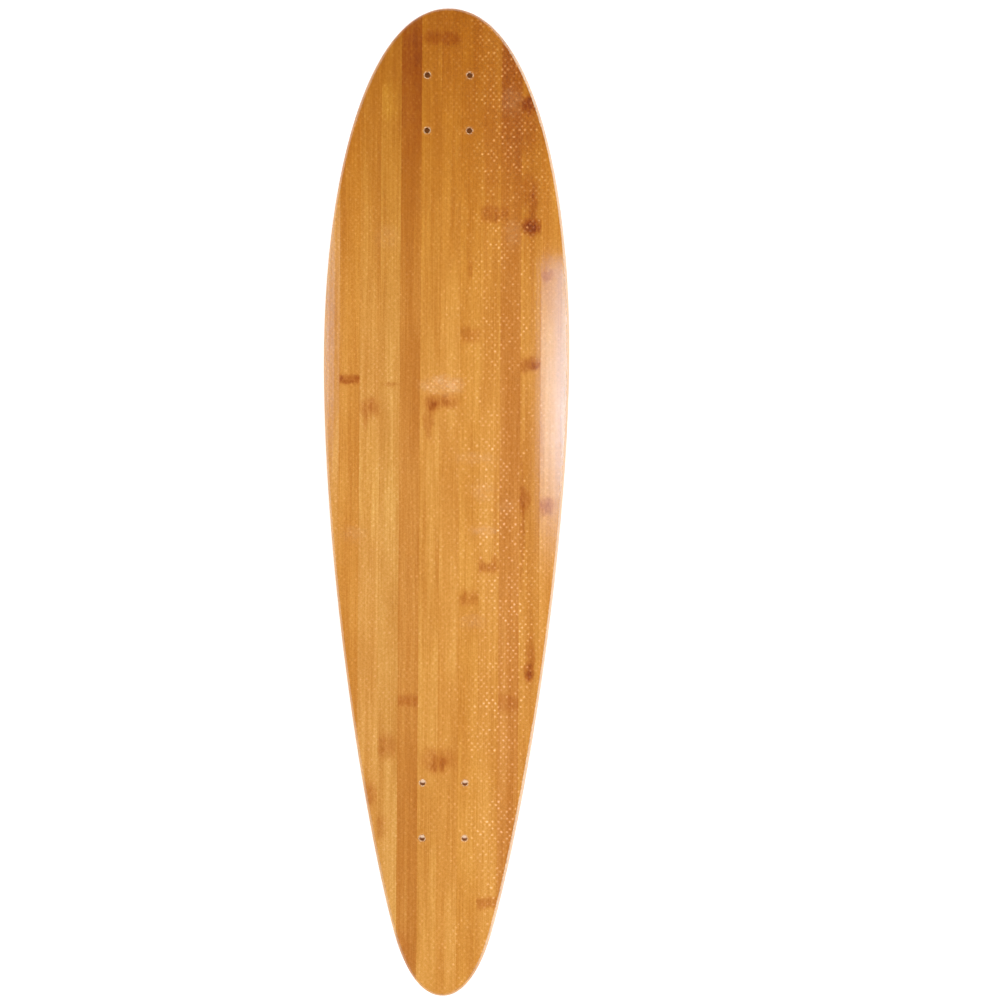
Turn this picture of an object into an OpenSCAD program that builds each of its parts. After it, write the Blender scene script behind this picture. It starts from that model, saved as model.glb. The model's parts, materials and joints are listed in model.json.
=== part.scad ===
// Bare pintail longboard deck, pressed from bamboo strips between two clear glass-fibre skins.
// +Y points to the nose, +X to the right rail and +Z up through the top face, in millimetres.
// The origin lies midway between the tips, on the surface that the deck rests on.

/* [Outline] */
// Length of the deck from nose tip to tail tip
deck_length = 965; // [800:1:1160]
// Width of the deck at its widest point
deck_width = 239; // [195:1:290]
// Distance of the widest point behind the nose tip
widest_from_nose = 340; // [280:1:410]
// Distance of the tail shoulder ahead of the tail tip
shoulder_from_tail = 62; // [50:1:75]
// Width of the deck across the tail shoulder
shoulder_width = 95; // [78:1:115]
// Angle between the rail and the centre line at the tail shoulder, in degrees
shoulder_angle = 15.5; // [10:0.5:20]

/* [Outline curves] */
// How far the nose tip stays square before it turns back
nose_tip_handle = 75; // [60:1:90]
// How far the rail stays straight ahead of the widest point
nose_rail_handle = 188; // [150:1:225]
// How far the rail stays straight behind the widest point
tail_rail_handle = 200; // [160:1:240]
// How far the rail stays straight ahead of the tail shoulder
shoulder_rail_handle = 114; // [90:1:136]
// How far the rail stays straight behind the tail shoulder
shoulder_tip_handle = 27; // [20:1:33]
// How far the tail tip stays square before it turns forward
tail_tip_handle = 25; // [18:1:32]

/* [Section] */
// Radius of the hollow that is pressed across the deck
concave_radius = 800; // [600:10:2000]
// Radius of the round along the upper and the lower edge of the rail
rail_radius = 4; // [2.5:0.5:5]

/* [Layers] */
// Thickness of each glass-fibre skin
skin_thickness = 0.5; // [0.3:0.1:0.8]
// Thickness of the lengthwise strips on each face
face_thickness = 2; // [1.5:0.25:3]
// Thickness of each sheet whose grain runs across the deck
cross_thickness = 1.5; // [1:0.25:2]
// Thickness of the lengthwise strips in the core
core_thickness = 3; // [2:0.25:5]

/* [Strips] */
// Number of strips that are glued edge to edge in one layer
strip_count = 13; // [9:1:15]
// Width that is trimmed from each side of a glued layer when the deck is cut to its outline
trim_width = 7.75; // [6:0.25:10]
// Distance of the middle of the top layer of strips to the right of the centre line
face_shift = 3.45; // [0:0.05:4]
// Distance between the seams of the core and the seams of the top layer
core_stagger = 7; // [4:0.5:8]

/* [Truck holes] */
// Diameter of each bolt hole
hole_diameter = 5.5; // [5:0.1:6.6]
// Spacing of the bolt holes across the deck
hole_spacing_x = 41.275; // [34:0.005:50]
// Spacing of the bolt holes along the deck
hole_spacing_y = 53.975; // [45:0.005:65]
// Distance of the middle of the front bolt holes behind the nose tip
front_holes_from_nose = 93; // [75:0.5:112]
// Distance of the middle of the rear bolt holes ahead of the tail tip
rear_holes_from_tail = 181.5; // [150:0.5:220]
// Width of the bevel where a hole breaks through a skin
hole_bevel = 0.75; // [0.3:0.05:1]

/* [Hidden] */
half_width = deck_width / 2;
nose_y = deck_length / 2;
tail_y = -deck_length / 2;
widest_y = nose_y - widest_from_nose;

// Points along each curve of the outline, and sides of each circle
curve_steps = 32;
$fn = 256;

// Heights of the layer surfaces above the lowest line of the deck, from the bottom up
bottom_strip_z = skin_thickness;
lower_cross_z = bottom_strip_z + face_thickness;
core_z = lower_cross_z + cross_thickness;
upper_cross_z = core_z + core_thickness;
top_strip_z = upper_cross_z + cross_thickness;
top_skin_z = top_strip_z + face_thickness;
deck_thickness = top_skin_z + skin_thickness;

// A cutting body reaches this far past what it cuts
overshoot = 5;
rail_rise = concave_radius - sqrt(pow(concave_radius, 2) - pow(half_width, 2));
cut_height = deck_thickness + rail_rise + overshoot;

// Strips of bamboo
strip_width = (deck_width + 2 * trim_width) / strip_count;
core_shift = face_shift - core_stagger;

// Bolt holes
front_holes_y = nose_y - front_holes_from_nose;
rear_holes_y = tail_y + rear_holes_from_tail;
hole_places = [
    for (middle_y = [front_holes_y, rear_holes_y])
    for (side = [-1, 1])
    for (row = [-1, 1])
        [side * hole_spacing_x / 2, middle_y + row * hole_spacing_y / 2]
];

// Colours of the bamboo, of the glue-tinted inner layers and of the clear skins
pale = [0.86, 0.62, 0.31];
light = [0.83, 0.55, 0.26];
medium = [0.79, 0.49, 0.22];
dark = [0.66, 0.38, 0.16];
top_tones = [light, medium, light, pale, dark, medium, medium, medium, light, dark, medium, light, pale];
bottom_tones = [pale, light, medium, dark, light, medium, medium, medium, dark, pale, light, medium, light];
core_tones = [light, pale, medium];
cross_tone = [0.70, 0.47, 0.25];
skin_tone = [0.93, 0.80, 0.58, 0.35];

// The right rail is three curves in a row: round the nose, along the tail and round the tail tip
shoulder = [shoulder_width / 2, tail_y + shoulder_from_tail];
run_in = [-sin(shoulder_angle), -cos(shoulder_angle)];
nose_curve = [
    [0, nose_y],
    [nose_tip_handle, nose_y],
    [half_width, widest_y + nose_rail_handle],
    [half_width, widest_y]
];
tail_curve = [
    [half_width, widest_y],
    [half_width, widest_y - tail_rail_handle],
    shoulder - shoulder_rail_handle * run_in,
    shoulder
];
tip_curve = [
    shoulder,
    shoulder + shoulder_tip_handle * run_in,
    [tail_tip_handle, tail_y],
    [0, tail_y]
];

function curve_point(c, t) =
    pow(1 - t, 3) * c[0] + 3 * pow(1 - t, 2) * t * c[1] + 3 * (1 - t) * t * t * c[2] + pow(t, 3) * c[3];

function curve_direction(c, t) =
    pow(1 - t, 2) * (c[1] - c[0]) + 2 * (1 - t) * t * (c[2] - c[1]) + t * t * (c[3] - c[2]);

// A point of a curve, moved inwards at right angles to it
function inset_point(c, t, inset) =
    let (d = curve_direction(c, t))
    curve_point(c, t) - inset * [-d[1], d[0]] / norm(d);

function right_rail(inset) = [
    for (c = [nose_curve, tail_curve, tip_curve])
    for (k = [0 : curve_steps - 1])
        inset_point(c, k / curve_steps, inset)
];

function outline_points(inset) =
    let (right = right_rail(inset), tip = inset_point(tip_curve, 1, inset), last = len(right) - 1)
    concat(right, [tip], [for (k = [last : -1 : 1]) [-right[k][0], right[k][1]]]);

// How far the rounded rail has drawn in at a depth below the nearer face
function rail_inset(depth) =
    depth >= rail_radius ? 0 : rail_radius - sqrt(pow(rail_radius, 2) - pow(rail_radius - depth, 2));

// Height of a layer surface at a distance from the centre line
function bent_height(z, x) = concave_radius - sqrt(pow(concave_radius - z, 2) - x * x);

function strip_name(layer, i) = str(layer, "_strip_", i < 10 ? "0" : "", i);

// Solid cylinder along the deck whose underside is a layer surface
module hollow_former(z) {
    translate([0, 0, concave_radius])
        rotate([90, 0, 0])
            cylinder(r = concave_radius - z, h = deck_length + 2 * overshoot, center = true);
}

// All the bolt holes, straight through the deck
module bolt_holes() {
    for (place = hole_places)
        translate([place[0], place[1], -overshoot])
            cylinder(d = hole_diameter, h = cut_height + overshoot);
}

// The bevels round the bolt holes, which widen from a layer surface to the face of a skin
module hole_bevels(inner_z, outer_z) {
    r = hole_diameter / 2;
    for (place = hole_places) {
        start = bent_height(inner_z, place[0]);
        rise = bent_height(outer_z, place[0]) - start;
        // The cone runs on to twice the skin's thickness, so that it clears the sloping face
        translate([place[0], place[1], start])
            mirror([0, 0, rise < 0 ? 1 : 0])
                cylinder(r1 = r, r2 = r + 2 * hole_bevel, h = 2 * abs(rise));
    }
}

// One layer of the deck between two heights, cut to the outline and drilled
module layer(low, high, inset) {
    difference() {
        intersection() {
            translate([0, 0, -overshoot])
                linear_extrude(height = cut_height + overshoot)
                    polygon(outline_points(inset));
            difference() {
                hollow_former(low);
                hollow_former(high);
            }
        }
        bolt_holes();
    }
}

// The part of a layer that lies in one strip of the glued blank
module strip(i, low, high, inset, shift) {
    left = shift + (i - 1 - strip_count / 2) * strip_width;
    intersection() {
        layer(low, high, inset);
        translate([left, -deck_length / 2 - overshoot, -overshoot])
            cube([strip_width, deck_length + 2 * overshoot, cut_height + overshoot]);
    }
}

module top_glass_skin() {
    color(skin_tone)
        difference() {
            layer(top_skin_z, deck_thickness, rail_inset(skin_thickness));
            hole_bevels(top_skin_z, deck_thickness);
        }
}

module bottom_glass_skin() {
    color(skin_tone)
        difference() {
            layer(0, bottom_strip_z, rail_inset(skin_thickness));
            hole_bevels(bottom_strip_z, 0);
        }
}

module upper_cross_ply() {
    color(cross_tone)
        layer(upper_cross_z, top_strip_z, rail_inset(deck_thickness - upper_cross_z));
}

module lower_cross_ply() {
    color(cross_tone)
        layer(lower_cross_z, core_z, rail_inset(core_z));
}

module top_strip(i) {
    color(top_tones[(i - 1) % len(top_tones)])
        strip(i, top_strip_z, top_skin_z, rail_inset(deck_thickness - top_strip_z), face_shift);
}

module core_strip(i) {
    color(core_tones[i % len(core_tones)])
        strip(i, core_z, upper_cross_z, rail_inset(deck_thickness - core_z), core_shift);
}

module bottom_strip(i) {
    color(bottom_tones[(i - 1) % len(bottom_tones)])
        strip(i, bottom_strip_z, lower_cross_z, rail_inset(lower_cross_z), -face_shift);
}

top_glass_skin();
upper_cross_ply();
lower_cross_ply();
bottom_glass_skin();
for (i = [1 : strip_count]) {
    top_strip(i);
    core_strip(i);
    bottom_strip(i);
}
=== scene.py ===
"""Bare pintail longboard deck: bamboo strips and cross plies under clear glass-fibre skins.
+Y points to the nose, +X to the right rail and +Z up, in metres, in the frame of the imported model."""
import json
import math

import bmesh
import bpy
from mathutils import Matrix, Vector


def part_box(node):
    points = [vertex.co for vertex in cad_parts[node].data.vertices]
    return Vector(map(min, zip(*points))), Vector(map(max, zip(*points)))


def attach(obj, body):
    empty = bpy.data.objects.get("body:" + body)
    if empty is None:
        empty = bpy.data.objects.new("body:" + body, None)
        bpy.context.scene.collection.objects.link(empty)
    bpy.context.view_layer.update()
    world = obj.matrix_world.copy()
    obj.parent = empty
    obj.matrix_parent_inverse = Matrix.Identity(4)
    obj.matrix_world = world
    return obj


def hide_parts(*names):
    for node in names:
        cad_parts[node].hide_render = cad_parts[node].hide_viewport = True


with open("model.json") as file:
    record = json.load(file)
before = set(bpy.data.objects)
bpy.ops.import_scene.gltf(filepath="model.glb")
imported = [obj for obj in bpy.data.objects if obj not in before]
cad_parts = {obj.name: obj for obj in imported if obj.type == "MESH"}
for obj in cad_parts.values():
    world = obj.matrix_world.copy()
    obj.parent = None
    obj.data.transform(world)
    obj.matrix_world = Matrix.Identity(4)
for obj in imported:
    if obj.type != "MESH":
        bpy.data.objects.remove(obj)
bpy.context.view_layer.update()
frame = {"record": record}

# ---------------------------------------------------------------- sizes from the frame
ply_low, ply_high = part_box("upper_cross_ply")
HALF_WIDTH = (ply_high.x - ply_low.x) / 2
NOSE_Y, TAIL_Y = ply_high.y, ply_low.y
STRIPS = 13
MIDDLE_STRIP = 7


def strip_name(layer, i):
    """The node of a layer's strip, counted from the left."""
    return f"{layer}_strip_{i:02d}"


def underside(node):
    """Height of a layer's underside on the centre line."""
    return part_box(node)[0].z


BOTTOM_STRIPS_Z = underside(strip_name("bottom", MIDDLE_STRIP))
LOWER_CROSS_Z = underside("lower_cross_ply")
CORE_Z = underside(strip_name("core", MIDDLE_STRIP))
UPPER_CROSS_Z = underside("upper_cross_ply")
TOP_STRIPS_Z = underside(strip_name("top", MIDDLE_STRIP))
TOP_SKIN_Z = underside("top_glass_skin")
SKIN = BOTTOM_STRIPS_Z
THICKNESS = TOP_SKIN_Z + SKIN

# ---------------------------------------------------------------- sizes of the design
WIDEST_FROM_NOSE = 0.340
SHOULDER_FROM_TAIL = 0.062
SHOULDER_HALF_WIDTH = 0.0475
SHOULDER_ANGLE = math.radians(15.5)
NOSE_TIP_HANDLE = 0.075
NOSE_RAIL_HANDLE = 0.188
TAIL_RAIL_HANDLE = 0.200
SHOULDER_RAIL_HANDLE = 0.114
SHOULDER_TIP_HANDLE = 0.027
TAIL_TIP_HANDLE = 0.025
CONCAVE_RADIUS = 0.800
RAIL_RADIUS = 0.004
HOLE_BEVEL = 0.00075
# The skins lie this far off the strips, so that a ray meets one surface at a time
SKIN_CLEARANCE = 0.00003

CURVE_STEPS = 72
RAIL_RINGS = 5
COLUMN_WIDTH = 0.005
HOLE_SIDES = 48
MM = 0.001
# A ring of the rounded rail keeps this far from the surfaces of its layer
RING_MARGIN = 0.02 * MM
# Edges sharper than this stay sharp when the rail is shaded round
SHARP_ANGLE = math.radians(32)
# Pull of the large faces on the shading, where 50 is neutral
FACE_WEIGHT = 80


# ---------------------------------------------------------------- outline and section
def rail_curves():
    """The right rail as three curves in a row: round the nose, along the tail, round the tail tip."""
    widest_y = NOSE_Y - WIDEST_FROM_NOSE
    widest = Vector((HALF_WIDTH, widest_y))
    shoulder = Vector((SHOULDER_HALF_WIDTH, TAIL_Y + SHOULDER_FROM_TAIL))
    run_in = Vector((-math.sin(SHOULDER_ANGLE), -math.cos(SHOULDER_ANGLE)))
    nose = [
        Vector((0, NOSE_Y)),
        Vector((NOSE_TIP_HANDLE, NOSE_Y)),
        Vector((HALF_WIDTH, widest_y + NOSE_RAIL_HANDLE)),
        widest,
    ]
    tail = [
        widest,
        Vector((HALF_WIDTH, widest_y - TAIL_RAIL_HANDLE)),
        shoulder - SHOULDER_RAIL_HANDLE * run_in,
        shoulder,
    ]
    tip = [
        shoulder,
        shoulder + SHOULDER_TIP_HANDLE * run_in,
        Vector((TAIL_TIP_HANDLE, TAIL_Y)),
        Vector((0, TAIL_Y)),
    ]
    return nose, tail, tip


def inset_point(curve, t, inset):
    """A point of a curve, moved inwards at right angles to it."""
    a, b, c, d = curve
    s = 1 - t
    point = s**3 * a + 3 * s * s * t * b + 3 * s * t * t * c + t**3 * d
    along = s * s * (b - a) + 2 * s * t * (c - b) + t * t * (d - c)
    return point - inset * Vector((-along.y, along.x)).normalized()


def outline(inset):
    """The closed outline of the deck, drawn in by inset: down the right rail and back up the left."""
    curves = rail_curves()
    right = [inset_point(c, k / CURVE_STEPS, inset) for c in curves for k in range(CURVE_STEPS)]
    tip = inset_point(curves[-1], 1, inset)
    left = [Vector((-p.x, p.y)) for p in reversed(right[1:])]
    return right + [tip] + left


def rail_inset(z):
    """How far the rounded rail has drawn in at height z."""
    depth = min(z, THICKNESS - z)
    if depth >= RAIL_RADIUS:
        return 0
    return RAIL_RADIUS - math.sqrt(RAIL_RADIUS**2 - (RAIL_RADIUS - depth) ** 2)


def ring_heights(low, high):
    """Heights of the rings that follow the rounded rail between two heights."""

    def angle(z):
        depth = min(max(min(z, THICKNESS - z), 0), RAIL_RADIUS)
        return math.copysign(math.asin((RAIL_RADIUS - depth) / RAIL_RADIUS), z - THICKNESS / 2)

    first, last = angle(low), angle(high)
    heights = [low]
    for k in range(1, RAIL_RINGS):
        a = first + (last - first) * k / RAIL_RINGS
        depth = RAIL_RADIUS * (1 - math.sin(abs(a)))
        z = THICKNESS - depth if a > 0 else depth
        if heights[-1] + RING_MARGIN < z < high - RING_MARGIN:
            heights.append(z)
    return heights + [high]


def bent_height(z, x):
    """Height of a layer surface at a distance from the centre line."""
    return CONCAVE_RADIUS - math.sqrt((CONCAVE_RADIUS - z) ** 2 - x * x)


# ---------------------------------------------------------------- solids
def close_rings(bm, rings):
    """Joins rings of points from the bottom up, and closes both ends."""
    for lower, upper in zip(rings, rings[1:]):
        for k in range(len(lower)):
            bm.faces.new((lower[k - 1], lower[k], upper[k], upper[k - 1]))
    bm.faces.new(rings[0])
    bm.faces.new(reversed(rings[-1]))


def cut(bm, x, keep=None):
    """Cuts a solid across at x, and keeps one side of it, or both."""
    found = bmesh.ops.bisect_plane(
        bm,
        geom=bm.verts[:] + bm.edges[:] + bm.faces[:],
        plane_co=(x, 0, 0),
        plane_no=(1, 0, 0),
        clear_outer=keep == "left",
        clear_inner=keep == "right",
    )
    if keep:
        rim = [e for e in found["geom_cut"] if isinstance(e, bmesh.types.BMEdge)]
        bmesh.ops.contextual_create(bm, geom=rim)


def layer_mesh(name, low, high, left=None, right=None):
    """One layer between two heights, or its strip from left to right, bent to the hollow."""
    bm = bmesh.new()
    rings = [
        [bm.verts.new((p.x, p.y, z)) for p in outline(rail_inset(z))]
        for z in ring_heights(low, high)
    ]
    close_rings(bm, rings)
    if left is not None:
        cut(bm, left, "right")
    if right is not None:
        cut(bm, right, "left")
    start = min(v.co.x for v in bm.verts)
    width = max(v.co.x for v in bm.verts) - start
    columns = max(2, round(width / COLUMN_WIDTH))
    for k in range(1, columns):
        cut(bm, start + width * k / columns)
    bmesh.ops.recalc_face_normals(bm, faces=bm.faces)
    for v in bm.verts:
        v.co.z = bent_height(v.co.z, v.co.x)
    mesh = bpy.data.meshes.new(name)
    bm.to_mesh(mesh)
    bm.free()
    return mesh


def hole_places():
    """The centre of each bolt hole, and their radius, from the record's mounts."""
    places = []
    for mount in frame["record"]["mounts"]:
        size = mount["dims"]
        for side in (-1, 1):
            for row in (-1, 1):
                x = mount["pos_m"][0] + side * size["spacing_x_mm"] * MM / 2
                y = mount["pos_m"][1] + row * size["spacing_y_mm"] * MM / 2
                places.append(Vector((x, y)))
    return places, size["hole_r_mm"] * MM


HOLES, HOLE_RADIUS = hole_places()


def hole_cutter():
    """One tool that drills every hole and bevels it where it breaks through the skins."""
    bm = bmesh.new()
    turns = [2 * math.pi * k / HOLE_SIDES for k in range(HOLE_SIDES)]
    for place in HOLES:
        base = bent_height(0, place.x)
        reach = 2 * SKIN
        wide = HOLE_RADIUS + HOLE_BEVEL * (reach + SKIN) / SKIN
        profile = [
            (wide, base - reach),
            (HOLE_RADIUS, base + SKIN),
            (HOLE_RADIUS, base + THICKNESS - SKIN),
            (wide, base + THICKNESS + reach),
        ]
        rings = []
        for r, z in profile:
            points = [(place.x + r * math.cos(a), place.y + r * math.sin(a), z) for a in turns]
            rings.append([bm.verts.new(point) for point in points])
        close_rings(bm, rings)
    bmesh.ops.recalc_face_normals(bm, faces=bm.faces)
    mesh = bpy.data.meshes.new("hole_cutter")
    bm.to_mesh(mesh)
    bm.free()
    tool = bpy.data.objects.new("hole_cutter", mesh)
    bpy.context.scene.collection.objects.link(tool)
    return tool


def drill(piece, tool):
    """Cuts the bolt holes through a piece that they pass through."""
    low = min(v.co.x for v in piece.data.vertices)
    high = max(v.co.x for v in piece.data.vertices)
    if not any(low < p.x < high for p in HOLES):
        return
    boolean = piece.modifiers.new("holes", "BOOLEAN")
    boolean.object = tool
    boolean.solver = "EXACT"
    bpy.context.view_layer.update()
    shown = piece.evaluated_get(bpy.context.evaluated_depsgraph_get())
    drilled = bpy.data.meshes.new_from_object(shown)
    drilled.name = piece.data.name
    piece.modifiers.clear()
    old = piece.data
    piece.data = drilled
    bpy.data.meshes.remove(old)


def smooth(piece):
    """Rounds the rail's shading and keeps the flat faces flat."""
    piece.data.shade_smooth()
    piece.data.set_sharp_from_angle(angle=SHARP_ANGLE)
    weighted = piece.modifiers.new("flat_faces", "WEIGHTED_NORMAL")
    weighted.keep_sharp = True
    weighted.weight = FACE_WEIGHT


def add_piece(name, node, mesh, tool, material):
    """A piece that stands for a CAD node and rides with it."""
    piece = bpy.data.objects.new(name, mesh)
    bpy.context.scene.collection.objects.link(piece)
    drill(piece, tool)
    piece.data.materials.clear()
    piece.data.materials.append(material)
    smooth(piece)
    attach(piece, "root")
    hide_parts(node)
    return piece


# ---------------------------------------------------------------- node helper
# Distance between the noises of two seeds that differ by one
SEED_STEP = 17.3
# Upward part of the normal where a flat face ends, and where the rail is round
FLAT_UP, ROUND_UP = 0.975, 0.88


def cube(size):
    """One feature size in all three directions."""
    return (size, size, size)


class Graph:
    """A material's node tree, with a short call for each kind of node that the patterns use."""

    def __init__(self, name):
        self.material = bpy.data.materials.new(name)
        self.material.use_nodes = True
        self.tree = self.material.node_tree
        self.shader = self.tree.nodes["Principled BSDF"]
        coordinates = self.tree.nodes.new("ShaderNodeTexCoord").outputs["Object"]
        split = self.tree.nodes.new("ShaderNodeSeparateXYZ")
        self.feed(split.inputs[0], coordinates)
        self.x, self.y, self.z = split.outputs

    def feed(self, socket, value):
        if isinstance(value, bpy.types.NodeSocket):
            self.tree.links.new(value, socket)
        else:
            socket.default_value = value

    def math(self, operation, *values, clamp=False):
        node = self.tree.nodes.new("ShaderNodeMath")
        node.operation = operation
        node.use_clamp = clamp
        for socket, value in zip(node.inputs, values):
            self.feed(socket, value)
        return node.outputs[0]

    def vector(self, x, y, z):
        node = self.tree.nodes.new("ShaderNodeCombineXYZ")
        for socket, value in zip(node.inputs, (x, y, z)):
            self.feed(socket, value)
        return node.outputs[0]

    def stretched(self, sizes, seed):
        """Object coordinates divided by a feature size in each direction, and shifted by a seed."""
        scaled = [self.math("DIVIDE", c, size) for c, size in zip((self.x, self.y, self.z), sizes)]
        shifted = self.math("ADD", scaled[2], seed * SEED_STEP)
        return self.vector(scaled[0], scaled[1], shifted)

    def noise(self, sizes, seed, detail=2.0, roughness=0.5):
        """A smooth random value round 0.5, mostly from 0.3 to 0.7."""
        node = self.tree.nodes.new("ShaderNodeTexNoise")
        self.feed(node.inputs["Vector"], self.stretched(sizes, seed))
        node.inputs["Scale"].default_value = 1.0
        node.inputs["Detail"].default_value = detail
        node.inputs["Roughness"].default_value = roughness
        return node.outputs[0]

    def wander(self, sizes, seed):
        """Three smooth random values between about -0.5 and 0.5."""
        node = self.tree.nodes.new("ShaderNodeTexNoise")
        self.feed(node.inputs["Vector"], self.stretched(sizes, seed))
        node.inputs["Scale"].default_value = 1.0
        split = self.tree.nodes.new("ShaderNodeSeparateColor")
        self.feed(split.inputs[0], node.outputs["Color"])
        return [self.math("SUBTRACT", value, 0.5) for value in split.outputs]

    def steepness(self):
        """0 on the flat faces, and 1 on the rounded rail."""
        split = self.tree.nodes.new("ShaderNodeSeparateXYZ")
        self.feed(split.inputs[0], self.tree.nodes.new("ShaderNodeNewGeometry").outputs["Normal"])
        return self.remap(self.math("ABSOLUTE", split.outputs[2]), FLAT_UP, ROUND_UP)

    def remap(self, value, low, high, to_low=0.0, to_high=1.0):
        """A smooth change from to_low to to_high, while the value goes from low to high."""
        node = self.tree.nodes.new("ShaderNodeMapRange")
        node.interpolation_type = "SMOOTHSTEP"
        for socket, v in zip(node.inputs, (value, low, high, to_low, to_high)):
            self.feed(socket, v)
        return node.outputs[0]

    def bell(self, value, centre, spread):
        """1 at the centre, falling away on both sides."""
        off = self.math("DIVIDE", self.math("SUBTRACT", value, centre), spread)
        return self.math("EXPONENT", self.math("MULTIPLY", self.math("MULTIPLY", off, off), -1.0))

    def patch(self, across, along, x, y, half_width, half_height):
        """1 inside an ellipse whose place and half sizes are in mm, with a soft edge."""
        u = self.math("DIVIDE", self.math("SUBTRACT", across, x * MM), half_width * MM)
        v = self.math("DIVIDE", self.math("SUBTRACT", along, y * MM), half_height * MM)
        far = self.math("MULTIPLY_ADD", u, u, self.math("MULTIPLY", v, v))
        return self.math("EXPONENT", self.math("MULTIPLY", self.math("MULTIPLY", far, far), -1.0))

    def multiply(self, colour, tint, share=1.0):
        node = self.tree.nodes.new("ShaderNodeMix")
        node.data_type = "RGBA"
        node.blend_type = "MULTIPLY"
        self.feed(node.inputs["Factor"], share)
        self.feed(node.inputs["A"], colour)
        self.feed(node.inputs["B"], tint)
        return node.outputs["Result"]

    def blend(self, share, first, second):
        node = self.tree.nodes.new("ShaderNodeMix")
        node.data_type = "RGBA"
        self.feed(node.inputs["Factor"], share)
        self.feed(node.inputs["A"], first)
        self.feed(node.inputs["B"], second)
        return node.outputs["Result"]

    def stain(self, colour, tint, amount):
        """Multiplies a colour by a tint raised to an amount, as a deeper stain does."""
        depth = self.vector(*[self.math("POWER", channel, amount) for channel in tint])
        return self.multiply(colour, depth)

    def bump(self, height, depth, strength=1.0):
        node = self.tree.nodes.new("ShaderNodeBump")
        node.inputs["Strength"].default_value = strength
        node.inputs["Distance"].default_value = depth
        self.feed(node.inputs["Height"], height)
        return node.outputs[0]


def linear(red, green, blue):
    """A colour given as 0 to 255 on a screen, as the linear colour that a shader takes."""

    def channel(c):
        c /= 255
        return c / 12.92 if c <= 0.04045 else ((c + 0.055) / 1.055) ** 2.4

    return (channel(red), channel(green), channel(blue), 1.0)


# ---------------------------------------------------------------- bamboo
# Each tint is the colour that a stain of depth 1 multiplies the wood by
AMBER = (0.69, 0.52, 0.18)
FIBRE = (0.80, 0.66, 0.48)
CLOTH = (0.80, 0.71, 0.48)
KNUCKLE = (0.56, 0.31, 0.20)
# The rail is painted paler than the faces: partly from sanding and sealing, and partly as a painted
# highlight of the bright room on the rounded rail
SANDED_AND_SHEEN_RAIL = (0.90, 0.64, 0.44, 1.0)
# The amber starts this far ahead of the middle, and its depth reaches 1 after this length
AMBER_START = 0.060
AMBER_LENGTH = 0.355
AMBER_GROWTH = 1.8
# The resin warms the wood all over
RESIN = (0.848, 0.838, 0.698, 1.0)
# Depth of the stain in the palest and the darkest streaks of a strip and of a cross ply
STRIP_STREAKS = (-0.25, 0.43)
CROSS_STREAKS = (-0.3, 1.2)
# Depth of the slow changes of tone along a strip
SLOW_STAIN = (-0.25, 0.25)
# Glue darkens the wood by this depth at a seam, and fades out between these distances from it
SEAM_STAIN = 0.3
SEAM_REACH = (0.05 * MM, 0.40 * MM)
# How pale the rail of a strip and of a cross ply is, from sanding and a painted highlight, on the left
# side and on the right; the right side is paler because of the painted highlight
STRIP_PALE_AND_SHEEN = (0.25, 0.75)
CROSS_PALE_AND_SHEEN = (0.15, 0.45)
# Half the width over which the rail's paleness and its painted highlight pass from the left side to the
# right
SIDE_SHEEN_TURN = 0.050
# Share of that paleness at the tips, which grows to all of it between these distances from them
TIP_PALENESS = 0.35
TIP_REACH = (12 * MM, 70 * MM)
# Length of a fine streak, and width and length of a coarse one, as multiples of a fine one's width
FIBRE_STRETCH = 50
COARSE_WIDTH = 3.5
COARSE_STRETCH = 180
# Width of a fine streak, and size of the slow changes of tone
STREAK_WIDTH = 0.9 * MM
SLOW_SIZE = (18 * MM, 130 * MM, 18 * MM)
# Sizes of the fibres of a cross ply and of its slow changes of tone, and the share of the fibres
CROSS_FIBRE = (40 * MM, 0.8 * MM, 0.5 * MM)
CROSS_SLOW = (120 * MM, 9 * MM, 9 * MM)
CROSS_FIBRE_SHARE = 0.6
# Sizes of the fine and the broad raggedness of a mark's outline, and how far each moves it
FINE_RAGGED = (4 * MM, 5 * MM, 4 * MM)
FINE_SHIFT = (4 * MM, 5 * MM)
BROAD_RAGGED = (12 * MM, 18 * MM, 12 * MM)
BROAD_SHIFT = (7 * MM, 9 * MM)
# Size of the grain inside a mark, and how weak and how strong the mark gets with it
MARK_GRAIN = (2.2 * MM, 7 * MM, 2.2 * MM)
MARK_STRENGTH = (0.6, 1.4)
# Depth of the relief of the streaks
STREAK_RELIEF = 0.10 * MM
# Roughness of the darkest and the palest streaks
STRIP_ROUGHNESS = (0.58, 0.42)
CROSS_ROUGHNESS = (0.60, 0.45)
# Weight and roughness of the resin on the wood
STRIP_COAT = (1.0, 0.05)
CROSS_COAT = (0.6, 0.15)
# The wood itself hardly shines, because the resin over it does
WOOD_SPECULAR = 0.03
# How much the cloth above a face lightens and darkens it, and the size of its spots
SPOT_SIZE = 1.9 * MM
SPOT_TINT = 0.27
THREAD_TINT = 0.12
DOT_TINT = 2.5
DOT_EVERYWHERE = 0.18


def fibres(g, seed):
    """Fine and coarse streaks along the grain, as one value from 0 to 1."""
    length = FIBRE_STRETCH * STREAK_WIDTH
    fine = g.noise((STREAK_WIDTH, length, STREAK_WIDTH), seed, detail=3, roughness=0.6)
    width = COARSE_WIDTH * STREAK_WIDTH
    length = COARSE_STRETCH * STREAK_WIDTH
    coarse = g.noise((width, length, width), seed + 3, detail=2)
    return g.math("MULTIPLY_ADD", coarse, 0.5, g.math("MULTIPLY", fine, 0.5))


def amber(g, colour):
    """The resin's warm tint all over, and a darkening towards amber from ahead of the deck's middle to
    the nose.
    """
    reach = g.math("DIVIDE", g.math("SUBTRACT", g.y, AMBER_START), AMBER_LENGTH)
    amount = g.math("POWER", g.math("MAXIMUM", reach, 0.0), AMBER_GROWTH)
    return g.stain(g.multiply(colour, RESIN), AMBER, amount)


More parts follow.
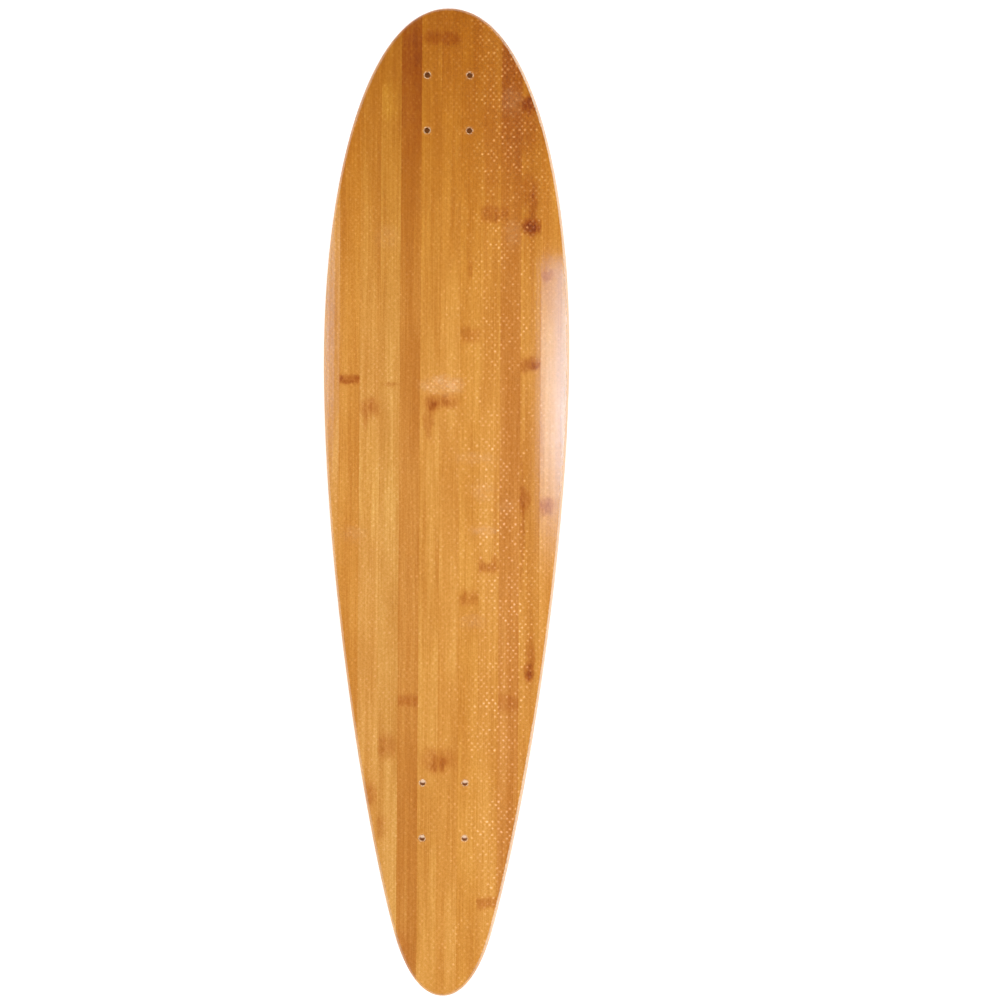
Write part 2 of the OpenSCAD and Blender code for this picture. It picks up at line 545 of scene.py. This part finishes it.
def marks_amount(g, seed, middle, marks):
    """How deep the wood is stained by its knuckles and streaks, with ragged edges along the grain."""
    fine_x, fine_y, _ = g.wander(FINE_RAGGED, seed + 5)
    broad_x, broad_y, _ = g.wander(BROAD_RAGGED, seed + 6)
    across = g.math("MULTIPLY_ADD", broad_x, BROAD_SHIFT[0], g.math("SUBTRACT", g.x, middle))
    across = g.math("MULTIPLY_ADD", fine_x, FINE_SHIFT[0], across)
    along = g.math("MULTIPLY_ADD", broad_y, BROAD_SHIFT[1], g.y)
    along = g.math("MULTIPLY_ADD", fine_y, FINE_SHIFT[1], along)
    total = 0.0
    for x, y, half_width, half_height, strength in marks:
        patch = g.patch(across, along, x, y, half_width, half_height)
        total = g.math("MULTIPLY_ADD", patch, strength, total)
    grain = g.noise(MARK_GRAIN, seed + 7, detail=4, roughness=0.7)
    return g.math("MULTIPLY", total, g.remap(grain, 0.3, 0.7, *MARK_STRENGTH))


def cloth_tint(g):
    """How much the soaked cloth lightens the face under it: crossings, threads and uneven resin."""
    dots, threads = weave(g)
    shown, dry = dryness(g)
    spots = g.noise(cube(SPOT_SIZE), 53, detail=2, roughness=0.7)
    tint = g.remap(spots, 0.30, 0.70, -SPOT_TINT, SPOT_TINT)
    tint = g.math("MULTIPLY_ADD", g.math("SUBTRACT", threads, 0.5), THREAD_TINT, tint)
    reach = g.math("ADD", shown, g.math("MULTIPLY_ADD", dry, 0.5, DOT_EVERYWHERE))
    return g.math("MULTIPLY_ADD", g.math("MULTIPLY", dots, reach), DOT_TINT, tint)


def pale_edge_and_sheen(g, left, right):
    """How pale the rail is from sanding, and from a painted highlight that is stronger along the right
    side; little at the tips.
    """
    side = g.remap(g.x, -SIDE_SHEEN_TURN, SIDE_SHEEN_TURN, left, right)
    near, far = TIP_REACH
    from_tip = g.remap(g.math("ABSOLUTE", g.y), NOSE_Y - near, NOSE_Y - far, TIP_PALENESS, 1.0)
    return g.math("MULTIPLY", side, from_tip)


def set_coat(g, weight, roughness):
    """Lays clear resin over the wood."""
    g.shader.inputs["Coat Weight"].default_value = weight
    g.shader.inputs["Coat Roughness"].default_value = roughness


def bamboo(name, tone, seed, seams, marks, under_cloth):
    """Vertical-grain bamboo: streaks, slow changes of tone, knuckles, and amber towards the nose."""
    g = Graph(name)
    streaks = fibres(g, seed)
    slow = g.noise(SLOW_SIZE, seed + 9, detail=1)
    colour = g.stain(tone, FIBRE, g.remap(streaks, 0.66, 0.34, *STRIP_STREAKS))
    colour = g.stain(colour, FIBRE, g.remap(slow, 0.35, 0.65, *SLOW_STAIN))
    if under_cloth:
        colour = g.stain(colour, CLOTH, g.math("MULTIPLY", cloth_tint(g), -1.0))
    colour = amber(g, colour)
    if marks:
        colour = g.stain(colour, KNUCKLE, marks_amount(g, seed, (seams[0] + seams[1]) / 2, marks))
    gap = g.math("MINIMUM", g.math("SUBTRACT", g.x, seams[0]), g.math("SUBTRACT", seams[1], g.x))
    colour = g.stain(colour, FIBRE, g.remap(gap, *SEAM_REACH, SEAM_STAIN, 0.0))
    # Painted highlight: the rounded rail is blended towards a pale tone, more on the right side, on top
    # of the paleness of sanding
    pale = g.math("MULTIPLY", g.steepness(), pale_edge_and_sheen(g, *STRIP_PALE_AND_SHEEN))
    colour = g.blend(pale, colour, SANDED_AND_SHEEN_RAIL)
    g.feed(g.shader.inputs["Base Color"], colour)
    g.feed(g.shader.inputs["Roughness"], g.remap(streaks, 0.3, 0.7, *STRIP_ROUGHNESS))
    g.feed(g.shader.inputs["Normal"], g.bump(streaks, STREAK_RELIEF, 0.4))
    g.shader.inputs["Specular IOR Level"].default_value = WOOD_SPECULAR
    set_coat(g, *STRIP_COAT)
    return g.material


def cross_bamboo(name, tone, seed):
    """Bamboo sheet whose fibres run across the deck, seen as a line along the rail."""
    g = Graph(name)
    fine = g.noise(CROSS_FIBRE, seed, detail=3)
    slow = g.noise(CROSS_SLOW, seed + 2)
    fine = g.math("MULTIPLY", fine, CROSS_FIBRE_SHARE)
    streaks = g.math("MULTIPLY_ADD", slow, 1 - CROSS_FIBRE_SHARE, fine)
    colour = g.stain(tone, FIBRE, g.remap(streaks, 0.64, 0.34, *CROSS_STREAKS))
    # Painted highlight: the rounded rail is blended towards a pale tone, more on the right side, on top
    # of the paleness of sanding
    pale = g.math("MULTIPLY", g.steepness(), pale_edge_and_sheen(g, *CROSS_PALE_AND_SHEEN))
    colour = g.blend(pale, amber(g, colour), SANDED_AND_SHEEN_RAIL)
    g.feed(g.shader.inputs["Base Color"], colour)
    g.feed(g.shader.inputs["Roughness"], g.remap(streaks, 0.3, 0.7, *CROSS_ROUGHNESS))
    g.feed(g.shader.inputs["Normal"], g.bump(streaks, STREAK_RELIEF, 0.5))
    set_coat(g, *CROSS_COAT)
    return g.material


# ---------------------------------------------------------------- glass-fibre skin
WEAVE_ACROSS = 5.6 * MM
WEAVE_ALONG = 6.54 * MM
# Half sizes of a crossing
DOT_ACROSS = 1.05 * MM
DOT_ALONG = 0.95 * MM
# How far the threads stray from a straight line, in short jogs and in a slow sway, and how long
# those are
THREAD_JOG, JOG_SIZE = 2.2 * MM, 5 * MM
THREAD_SWAY, SWAY_SIZE = 6 * MM, 150 * MM
# The cloth shows most round this line right of the middle, and a little everywhere
SHOWN_X, SHOWN_SPREAD = 58 * MM, 36 * MM
SHOWN_MOST, SHOWN_LEAST = 0.70, 0.16
# Towards the nose it shows this many times as much, which comes in between these two places
AHEAD_START, AHEAD_FULL = 150 * MM, 330 * MM
AHEAD_MORE = 1.25
# It shows unevenly, in patches of this size, between these two shares
SHOWN_PATCH = (30 * MM, 42 * MM, 30 * MM)
SHOWN_SHARES = (0.45, 1.0)
# Size of the raggedness of a dry patch's outline, and how far it moves the outline
DRY_RAGGED = (9 * MM, 7 * MM, 9 * MM)
DRY_SHIFT = 9 * MM
# How white the crossings are over the faces, the laminate round a hole, and the rest at the least
CROSSING_WHITE = 0.20
HALO_WHITE = 0.14
LEAST_WHITE = 0.004
# How white the dry patches are where they are thinnest and where they are thickest, and the size
# of those places
HAZE = (0.12, 0.34)
HAZE_SIZE = (7 * MM, 5 * MM, 7 * MM)
GLASS_WHITE = linear(255, 208, 150)
EDGE_WHITE = linear(252, 222, 182)
# How white the edge of the laminate is on the left side and the right, where the right side's extra
# white is a painted highlight, and how ragged
RAIL_EDGE = (0.18, 0.60, 0.35)
HOLE_EDGE = (0.35, 0.35, 0.95)
# Outward part of the normal: more than the first on a skin's outer face, less than the second on
# the edge of a hole, and less than minus the second on the glued face
FACE_UP, BEVEL_UP = 0.97, 0.9
# How strong a crossing is at the least, how much more at the most, and how uneven they are
CROSSING_LEAST, CROSSING_MORE, CROSSING_POWER = 0.10, 1.25, 1.6
# Half width of a thread, as a share of the distance between two threads
THREAD_SPREAD = 0.22
# How much more the crossings show where the cloth is dry, and how white its threads are
DRY_MORE = 0.70
THREAD_WHITE = 0.10
# The halo round a hole is full to the first distance from its edge, and ends at the second
HALO_REACH = (1.0 * MM, 2.2 * MM)
# Roughness of the skin between its crossings and on them, their relief, and the skin's own shine
SKIN_ROUGHNESS = (0.12, 0.30)
CROSSING_RELIEF = 0.05 * MM
SKIN_SPECULAR = 0.2
# Size of the chips in a sanded edge, and roughness of the edge
CHIP_SIZE = 2.4 * MM
EDGE_ROUGHNESS = (0.30, 0.55)
# Roughness of the glued face, and size and whiteness of the air left in the glue
GLUED_ROUGHNESS = 0.3
AIR_SIZE = 9 * MM
AIR_WHITE = 0.01

# Dry patches of the cloth: place across and along the deck, half width and half height, all in mm,
# and strength
DRY_PATCHES = [
    (-3, 114, 19, 9, 1.0),
    (30, 42, 20, 6, 0.35),
    (36, 12, 13, 10, 0.35),
    (38, -28, 14, 5, 0.55),
    (27, -117, 13, 8, 0.35),
    (58, -4, 8, 6, 0.3),
    (62, 392, 10, 14, 0.25),
    (64, 262, 8, 14, 0.3),
    (-59, 258, 12, 12, 0.2),
    (-90, -32, 13, 8, 0.25),
]


def weave(g):
    """The cloth's crossings as soft dots on a diamond grid, and the threads between them."""
    sway = g.noise(cube(SWAY_SIZE), 2, detail=1)
    jog_x, jog_y, _ = g.wander(cube(JOG_SIZE), 61)
    across = g.math("MULTIPLY_ADD", sway, THREAD_SWAY, g.math("MULTIPLY_ADD", jog_x, THREAD_JOG, g.x))
    across = g.math("DIVIDE", across, WEAVE_ACROSS)
    along = g.math("MULTIPLY_ADD", sway, -THREAD_SWAY, g.math("MULTIPLY_ADD", jog_y, THREAD_JOG, g.y))
    along = g.math("DIVIDE", along, WEAVE_ALONG)
    total = None
    for shift in (0.0, 0.5):
        u = g.math("ADD", across, shift)
        v = g.math("ADD", along, shift)
        near_u = g.bell(g.math("FRACT", u), 0.5, DOT_ACROSS / WEAVE_ACROSS)
        near_v = g.bell(g.math("FRACT", v), 0.5, DOT_ALONG / WEAVE_ALONG)
        cell = g.tree.nodes.new("ShaderNodeTexWhiteNoise")
        place = g.vector(g.math("FLOOR", u), g.math("FLOOR", v), shift)
        g.feed(cell.inputs["Vector"], place)
        uneven = g.math("POWER", cell.outputs["Value"], CROSSING_POWER)
        own = g.math("MULTIPLY_ADD", uneven, CROSSING_MORE, CROSSING_LEAST)
        dot = g.math("MULTIPLY", g.math("MULTIPLY", near_u, near_v), own)
        total = dot if total is None else g.math("ADD", total, dot)
    thread_u = g.bell(g.math("FRACT", g.math("MULTIPLY", across, 2.0)), 0.5, THREAD_SPREAD)
    thread_v = g.bell(g.math("FRACT", g.math("MULTIPLY", along, 2.0)), 0.5, THREAD_SPREAD)
    return total, g.math("MAXIMUM", thread_u, thread_v)


def dryness(g):
    """How much of the cloth shows, which is more on the right and ahead, and how dry it is."""
    patches = g.remap(g.noise(SHOWN_PATCH, 11, detail=3), 0.38, 0.62, *SHOWN_SHARES)
    right_side = g.math("MULTIPLY_ADD", g.bell(g.x, SHOWN_X, SHOWN_SPREAD), SHOWN_MOST, SHOWN_LEAST)
    ahead = g.remap(g.y, AHEAD_START, AHEAD_FULL, 1.0, AHEAD_MORE)
    dry = None
    across, along, _ = g.wander(DRY_RAGGED, 29)
    across = g.math("MULTIPLY_ADD", across, DRY_SHIFT, g.x)
    along = g.math("MULTIPLY_ADD", along, DRY_SHIFT, g.y)
    for *patch, strength in DRY_PATCHES:
        spot = g.math("MULTIPLY", g.patch(across, along, *patch), strength)
        dry = spot if dry is None else g.math("MAXIMUM", dry, spot)
    return g.math("MULTIPLY", g.math("MULTIPLY", patches, ahead), right_side), dry


def hole_halo(g):
    """The laminate is bruised whitish round each drilled hole."""
    full, end = (HOLE_RADIUS + reach for reach in HALO_REACH)
    halo = None
    for place in HOLES:
        du = g.math("SUBTRACT", g.x, place.x)
        dv = g.math("SUBTRACT", g.y, place.y)
        far = g.math("SQRT", g.math("MULTIPLY_ADD", du, du, g.math("MULTIPLY", dv, dv)))
        ring = g.remap(far, full, end, 1.0, 0.0)
        halo = ring if halo is None else g.math("MAXIMUM", halo, ring)
    return halo


def glass_skin(name):
    """Clear laminate: nearly see-through, with whitish crossings and dry patches in the cloth."""
    g = Graph(name)
    dots, threads = weave(g)
    shown, dry = dryness(g)
    shown = g.math("MULTIPLY", g.math("MULTIPLY_ADD", dry, DRY_MORE, shown), CROSSING_WHITE)
    haze = g.noise(HAZE_SIZE, 23, detail=3, roughness=0.6)
    haze = g.math("MULTIPLY", g.remap(haze, 0.35, 0.65, *HAZE), dry)
    alpha = g.math("MULTIPLY_ADD", dots, shown, haze)
    alpha = g.math("MULTIPLY_ADD", hole_halo(g), HALO_WHITE, alpha)
    alpha = g.math("MULTIPLY_ADD", threads, g.math("MULTIPLY", shown, THREAD_WHITE), alpha)
    g.feed(g.shader.inputs["Alpha"], g.math("ADD", alpha, LEAST_WHITE, clamp=True))
    g.shader.inputs["Base Color"].default_value = GLASS_WHITE
    g.feed(g.shader.inputs["Roughness"], g.remap(dots, 0.0, 1.0, *SKIN_ROUGHNESS))
    g.feed(g.shader.inputs["Normal"], g.bump(dots, CROSSING_RELIEF, 0.3))
    g.shader.inputs["Specular IOR Level"].default_value = SKIN_SPECULAR
    return g.material


def glass_edge(name, left, right, ragged):
    """Sanded or drilled edge of the laminate, whitened where the glass is cut, and more on one side,
    where the extra white is a painted highlight.
    """
    g = Graph(name)
    chips = g.noise(cube(CHIP_SIZE), 31, detail=3)
    white = g.remap(chips, 0.35, 0.65, 1.0 - ragged, 1.0 + ragged)
    g.feed(g.shader.inputs["Alpha"], g.math("MULTIPLY", white, pale_edge_and_sheen(g, left, right), clamp=True))
    g.shader.inputs["Base Color"].default_value = EDGE_WHITE
    g.feed(g.shader.inputs["Roughness"], g.remap(chips, 0.3, 0.7, *EDGE_ROUGHNESS))
    return g.material


def clear_inside(name):
    """The face of the laminate that is glued to the strips."""
    g = Graph(name)
    g.shader.inputs["Base Color"].default_value = GLASS_WHITE
    g.shader.inputs["Roughness"].default_value = GLUED_ROUGHNESS
    air = g.noise(cube(AIR_SIZE), 41)
    g.feed(g.shader.inputs["Alpha"], g.remap(air, 0.3, 0.8, 0.0, AIR_WHITE))
    return g.material


def finish_skin(piece, up):
    """Gives the skin's outer face, glued face, rail and hole edges their own materials."""
    outer, inside, rail, hole = range(4)
    piece.data.materials.append(clear_inside(piece.name + "_inside"))
    piece.data.materials.append(glass_edge(piece.name + "_rail", *RAIL_EDGE))
    piece.data.materials.append(glass_edge(piece.name + "_hole", *HOLE_EDGE))
    for face in piece.data.polygons:
        facing = face.normal.z * up
        near_hole = any((face.center.xy - p).length < HOLE_RADIUS + HOLE_BEVEL for p in HOLES)
        if facing < -BEVEL_UP:
            face.material_index = inside
        elif near_hole and facing < BEVEL_UP:
            face.material_index = hole
        elif facing < FACE_UP:
            face.material_index = rail
        else:
            face.material_index = outer


# ---------------------------------------------------------------- the tones of the strips
TOP_TONES = [
    linear(222, 158, 84),
    linear(214, 145, 67),
    linear(218, 154, 81),
    linear(218, 156, 83),
    linear(205, 135, 63),
    linear(218, 152, 75),
    linear(219, 152, 75),
    linear(218, 150, 70),
    linear(219, 151, 73),
    linear(208, 136, 65),
    linear(215, 146, 68),
    linear(226, 158, 80),
    linear(222, 156, 79),
]
CORE_TONES = [linear(214, 150, 78), linear(226, 168, 96), linear(204, 138, 68)]
CROSS_TONE = linear(196, 142, 84)

# Stains in the top strips: place across the strip and along the deck, half width and half height,
# all in mm, and strength. Knuckles are wide, streaks are tall, and pale places have a strength below 0
TOP_MARKS = {
    2: [(0, 119, 20, 5, 0.50), (-8, 119, 2.5, 5, 0.3), (8, 120, 3, 4, 0.3), (0, 116, 9, 1.2, 0.25)],
    3: [
        (1, 91, 11, 10, 0.30),
        (4, 93, 4, 7, 0.22),
        (-4, 80, 3, 10, 0.15),
        (0, 20, 12, 60, -0.15),
        (3, -286, 6, 13, 0.35),
    ],
    4: [
        (1, 114, 8, 2, 0.25),
        (0, 25, 14, 50, -0.08),
        (-2, 392, 11, 18, -0.18),
        (-1, -238, 10, 12, 0.32),
        (-6, -317, 6, 12, 0.25),
    ],
    5: [
        (0, -194, 20, 6, 0.34),
        (0, 400, 20, 70, 0.25),
        (0, 440, 14, 24, 0.16),
        (-4, -455, 10, 40, 0.3),
    ],
    6: [
        (3, 453, 12, 6, 0.36),
        (4, 98, 11, 7, 0.34),
        (4, 94, 4, 6, 0.42),
        (-1, 82, 5, 20, 0.32),
        (5, -252, 12, 12, 0.28),
        (7, -255, 4, 8, 0.30),
    ],
    7: [
        (-3, 453, 12, 6, 0.36),
        (-3, 99, 12, 7, 0.36),
        (-4, 95, 5, 4, 0.22),
        (-4, -252, 12, 12, 0.26),
        (-5, -256, 4, 8, 0.38),
    ],
    8: [(0, 164, 11, 8, 0.27), (0, 227, 2, 9, 0.25), (-5, -92, 3, 8, 0.18), (0, -94, 11, 8, 0.24)],
    9: [
        (2, 345, 12, 62, 0.20),
        (-1, 281, 13, 8, 0.38),
        (0, -64, 12, 5, 0.34),
        (-8, -60, 2.5, 8, 0.2),
        (6, -57, 4, 5, 0.22),
        (0, -390, 20, 6, 0.36),
    ],
    10: [(0, -196, 20, 8, 0.22), (0, 390, 20, 70, 0.25), (-7, 282, 5, 7, 0.25)],
    11: [
        (-5, 362, 10, 24, 0.34),
        (-4, 303, 9, 16, 0.24),
        (-3, 388, 14, 8, 0.50),
        (-4, 389, 6, 5, 0.35),
        (0, 269, 11, 8, 0.68),
        (-1, 268, 8, 4.5, 0.50),
        (2, 288, 4, 22, 0.40),
        (-2, 134, 14, 7, 0.45),
        (4, 133, 4, 4, 0.35),
        (-7, -15, 2.5, 70, 0.28),
        (-5, 2, 5, 12, 0.35),
        (1, -166, 5.5, 9, 0.50),
        (1, -168, 3, 4, 0.35),
        (2, -150, 4, 18, 0.30),
    ],
    12: [(-4, 222, 8, 6, 0.35), (-4, -3, 9, 9, 0.5)],
}


# Noises of neighbouring strips differ by this much of a seed
STRIP_SEED_STEP = 1.7


def build_strips(layer, low, high, tones, marks, seed, tool):
    """The strips of one layer, each cut at its seams and with a bamboo of its own."""
    for i in range(1, STRIPS + 1):
        node = strip_name(layer, i)
        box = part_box(node)
        # A strip at the rail has one seam only
        left = box[0].x if i > 1 else None
        right = box[1].x if i < STRIPS else None
        material = bamboo(
            f"bamboo_{layer}_{i:02d}",
            tones[(i - 1) % len(tones)],
            seed + i * STRIP_SEED_STEP,
            (box[0].x, box[1].x),
            marks.get(i, ()),
            layer != "core",
        )
        mesh = layer_mesh(node + "_wood", low, high, left, right)
        add_piece(node + "_wood", node, mesh, tool, material)


def build_deck():
    """All the layers, drilled by one tool. The underside repeats the top face's marks, turned over."""
    tool = hole_cutter()
    mirrored = {
        STRIPS + 1 - i: [(-x, -y, *rest) for x, y, *rest in marks] for i, marks in TOP_MARKS.items()
    }
    build_strips("top", TOP_STRIPS_Z, TOP_SKIN_Z, TOP_TONES, TOP_MARKS, 1, tool)
    build_strips("core", CORE_Z, UPPER_CROSS_Z, CORE_TONES, {}, 40, tool)
    build_strips("bottom", BOTTOM_STRIPS_Z, LOWER_CROSS_Z, TOP_TONES[::-1], mirrored, 80, tool)
    cross_plies = {
        "upper_cross_ply": (UPPER_CROSS_Z, TOP_STRIPS_Z),
        "lower_cross_ply": (LOWER_CROSS_Z, CORE_Z),
    }
    for seed, (node, (low, high)) in enumerate(cross_plies.items()):
        material = cross_bamboo(f"bamboo_{node}", CROSS_TONE, 120 + seed * 9)
        mesh = layer_mesh(node + "_wood", low, high)
        add_piece(node + "_wood", node, mesh, tool, material)
    skins = {
        "top_glass_skin": (TOP_SKIN_Z + SKIN_CLEARANCE, THICKNESS, 1),
        "bottom_glass_skin": (0, SKIN - SKIN_CLEARANCE, -1),
    }
    for node, (low, high, up) in skins.items():
        material = glass_skin(f"laminate_{node}")
        mesh = layer_mesh(node + "_laminate", low, high)
        skin = add_piece(node + "_laminate", node, mesh, tool, material)
        finish_skin(skin, up)
    bpy.data.objects.remove(tool)


# ---------------------------------------------------------------- camera, floor and light
CAMERA_HEIGHT = 2.40
CAMERA_OFFSET = Vector((0.0530, 0.0024))
CAMERA_TURN = math.radians(0.40)
VIEW_WIDTH = 0.9757
SENSOR = 36.0
CLIP_END = 50
WHITE = (1.0, 1.0, 1.0, 1.0)

# Half the width of the floor, and how far it lies under the deck
FLOOR_REACH = 12.0
FLOOR_GAP = 0.1 * MM
PAPER_TONES = (0.93, 0.93, 0.93, 1.0), (0.96, 0.96, 0.96, 1.0)
PAPER_TONE_SIZE = 0.4
PAPER_ROUGHNESS = 0.9
PAPER_SPECULAR = 0.1
PAPER_GLOW = 0.35
# The paper starts this far from the centre line, less a share of the distance from the middle
PAPER_EDGE = (0.060, 0.085)
PAPER_TAPER = 0.080
# It also starts this far ahead of the front truck's middle, and this far behind the rear truck's
PAPER_AHEAD = (0.056, 0.086)
PAPER_BEHIND = (0.060, 0.100)
# Painted shade: the floor under the deck is dark brown and glows faintly brown, so that the holes look
# dark and the deck sits in shade
UNDER_DECK_SHADE = (0.34, 0.13, 0.035, 1.0)
# The glow under a rear hole: its colour, its strength, how far ahead of the hole's centre it lies
# in mm, and its half width and half height in mm
THROUGH_HOLE = (1.0, 0.74, 0.52, 1.0)
HOLE_GLOW = 0.50
HOLE_GLOW_AHEAD = 0.3
HOLE_GLOW_SIZE = (3.2, 1.8)

# The walls' glow, and the share of it that the horizon and the ceiling have
WALL_GLOW = 1.9
HORIZON_SHARE = 0.10
CEILING_SHARE = 0.03
# The horizon passes into the wall, and the wall into the ceiling, between these two elevations in
# degrees, each given as its sine
HORIZON_HEIGHTS = [math.sin(math.radians(elevation)) for elevation in (12, 32)]
CEILING_HEIGHTS = [math.sin(math.radians(elevation)) for elevation in (56, 68)]

SOFTBOX_HEIGHT = 1.9
COOL_WHITE = (0.45, 0.72, 1.0)
# Each lamp's mirror image: its ends across and along the deck, and its radiance. The right one
# runs from a seam to past the rail, and the left one starts at the rail
HIGHLIGHT_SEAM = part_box(strip_name("top", 12))[0].x
RIGHT_HIGHLIGHT = (HIGHLIGHT_SEAM - 0.0025, HALF_WIDTH + 0.01), (-0.090, 0.245), 21
LEFT_HIGHLIGHT = (-HALF_WIDTH, -0.106), (-0.02, 0.32), 7.5
# Each ramp has its axis on the lamp, the places from 0 to 1 between which its glow changes, and the
# glow at both
ACROSS, ALONG = 0, 1
RIGHT_RAMPS = [
    (ACROSS, 0.0, 1.0, 1.0, 0.25),
    (ALONG, 0.0, 0.5, 0.0, 1.0),
    (ALONG, 1.0, 0.94, 0.0, 1.0),
    (ALONG, 1.0, 0.55, 0.55, 1.0),
]
LEFT_RAMPS = [
    (ACROSS, 0.0, 1.0, 0.10, 1.0),
    (ALONG, 0.0, 0.5, 0.0, 1.0),
    (ALONG, 1.0, 0.8, 0.0, 1.0),
]


def add_camera():
    """A camera that looks straight down, turned a little so that the deck leans in its picture."""
    camera = bpy.data.objects.new("camera", bpy.data.cameras.new("camera"))
    bpy.context.scene.collection.objects.link(camera)
    camera.location = (*CAMERA_OFFSET, CAMERA_HEIGHT)
    camera.rotation_euler = (0, 0, CAMERA_TURN)
    camera.data.sensor_width = SENSOR
    camera.data.lens = SENSOR * (CAMERA_HEIGHT - THICKNESS) / VIEW_WIDTH
    camera.data.clip_end = CLIP_END
    bpy.context.scene.camera = camera
    return camera


def mirror_spot(camera, x, y, height):
    """The point at a height that the camera sees mirrored in the top face at x, y."""
    point = Vector((x, y, bent_height(THICKNESS, x)))
    normal = (Vector((0, y, CONCAVE_RADIUS)) - point).normalized()
    to_camera = (camera.location - point).normalized()
    away = 2 * to_camera.dot(normal) * normal - to_camera
    return point + away * (height - point.z) / away.z


def ramp(tree, source, start, stop, first, last):
    """A smooth change from first to last, while the source goes from start to stop."""
    node = tree.nodes.new("ShaderNodeMapRange")
    node.interpolation_type = "SMOOTHSTEP"
    for socket, value in zip(node.inputs[1:5], (start, stop, first, last)):
        socket.default_value = value
    tree.links.new(source, node.inputs[0])
    return node.outputs[0]


def combine(tree, operation, first, second):
    """The result of a math node that takes two values."""
    node = tree.nodes.new("ShaderNodeMath")
    node.operation = operation
    tree.links.new(first, node.inputs[0])
    tree.links.new(second, node.inputs[1])
    return node.outputs[0]


def add_softbox(name, camera, highlight, ramps):
    """A lamp whose mirror image fills a patch of the top face."""
    across, along, radiance = highlight
    corners = [mirror_spot(camera, x, y, SOFTBOX_HEIGHT) for x in across for y in along]
    low = Vector([min(c[k] for c in corners) for k in range(3)])
    high = Vector([max(c[k] for c in corners) for k in range(3)])
    lamp = bpy.data.objects.new(name, bpy.data.lights.new(name, "AREA"))
    bpy.context.scene.collection.objects.link(lamp)
    lamp.location = (low + high) / 2
    lamp.data.shape = "RECTANGLE"
    lamp.data.size = high.x - low.x
    lamp.data.size_y = high.y - low.y
    lamp.data.energy = radiance * math.pi * lamp.data.size * lamp.data.size_y
    lamp.data.color = COOL_WHITE
    # The lamp is only mirrored, and the room lights the deck
    lamp.visible_diffuse = False
    lamp.data.use_nodes = True
    tree = lamp.data.node_tree
    split = tree.nodes.new("ShaderNodeSeparateXYZ")
    tree.links.new(tree.nodes.new("ShaderNodeNewGeometry").outputs["Parametric"], split.inputs[0])
    glow = None
    for axis, *limits in ramps:
        step = ramp(tree, split.outputs[axis], *limits)
        glow = step if glow is None else combine(tree, "MULTIPLY", glow, step)
    tree.links.new(glow, tree.nodes["Emission"].inputs["Strength"])


def add_floor():
    """White paper round the deck, and painted shade under it: a dark brown floor with a faint brown
    glow that shows through the holes, with a painted pool of light under each rear hole.
    """
    corners = [(x * FLOOR_REACH, y * FLOOR_REACH, 0) for x, y in ((-1, -1), (1, -1), (1, 1), (-1, 1))]
    mesh = bpy.data.meshes.new("floor")
    mesh.from_pydata(corners, [], [(0, 1, 2, 3)])
    floor = bpy.data.objects.new("floor", mesh)
    floor.location.z = -FLOOR_GAP
    bpy.context.scene.collection.objects.link(floor)
    g = Graph("floor_paper")
    white = g.blend(g.noise(cube(PAPER_TONE_SIZE), 3), *PAPER_TONES)
    g.shader.inputs["Roughness"].default_value = PAPER_ROUGHNESS
    g.shader.inputs["Specular IOR Level"].default_value = PAPER_SPECULAR
    front_y, rear_y = (mount["pos_m"][1] for mount in frame["record"]["mounts"])
    beside = g.math("MULTIPLY_ADD", g.math("ABSOLUTE", g.y), PAPER_TAPER, g.math("ABSOLUTE", g.x))
    ahead = g.remap(g.y, *(front_y + distance for distance in PAPER_AHEAD))
    behind = g.remap(g.y, *(rear_y - distance for distance in PAPER_BEHIND))
    paper = g.math("MAXIMUM", g.remap(beside, *PAPER_EDGE), g.math("MAXIMUM", ahead, behind))
    # Painted shade under the deck, in the floor's colour and in its glow
    g.feed(g.shader.inputs["Base Color"], g.blend(paper, UNDER_DECK_SHADE, white))
    glow = g.blend(paper, UNDER_DECK_SHADE, WHITE)
    # A painted pool of light on the floor under each rear hole, a little ahead of its centre, makes the
    # upper half of the hole pale
    through = 0.0
    for place in HOLES:
        if place.y < 0:
            spot = g.patch(g.x, g.y, place.x / MM, place.y / MM + HOLE_GLOW_AHEAD, *HOLE_GLOW_SIZE)
            through = g.math("ADD", spot, through)
    g.feed(g.shader.inputs["Emission Color"], g.blend(through, glow, THROUGH_HOLE))
    g.feed(g.shader.inputs["Emission Strength"], g.math("MULTIPLY_ADD", through, HOLE_GLOW, PAPER_GLOW))
    mesh.materials.append(g.material)


def add_light(camera):
    """A room with pale walls, dim at the horizon and dark at the ceiling that the face mirrors."""
    world = bpy.data.worlds.new("studio")
    bpy.context.scene.world = world
    world.use_nodes = True
    tree = world.node_tree
    split = tree.nodes.new("ShaderNodeSeparateXYZ")
    tree.links.new(tree.nodes.new("ShaderNodeTexCoord").outputs["Generated"], split.inputs[0])
    height = split.outputs["Z"]
    wall = ramp(tree, height, *HORIZON_HEIGHTS, HORIZON_SHARE * WALL_GLOW, WALL_GLOW)
    ceiling = ramp(tree, height, *CEILING_HEIGHTS, 1.0, CEILING_SHARE)
    glow = combine(tree, "MULTIPLY", wall, ceiling)
    # Seen straight on, the backdrop is white all round
    seen = tree.nodes.new("ShaderNodeLightPath").outputs["Is Camera Ray"]
    background = tree.nodes["Background"]
    tree.links.new(combine(tree, "MAXIMUM", glow, seen), background.inputs["Strength"])
    background.inputs["Color"].default_value = WHITE
    add_softbox("softbox_right", camera, RIGHT_HIGHLIGHT, RIGHT_RAMPS)
    add_softbox("softbox_left", camera, LEFT_HIGHLIGHT, LEFT_RAMPS)


camera = add_camera()
add_floor()
add_light(camera)
build_deck()
bpy.context.scene.view_settings.view_transform = "Standard"
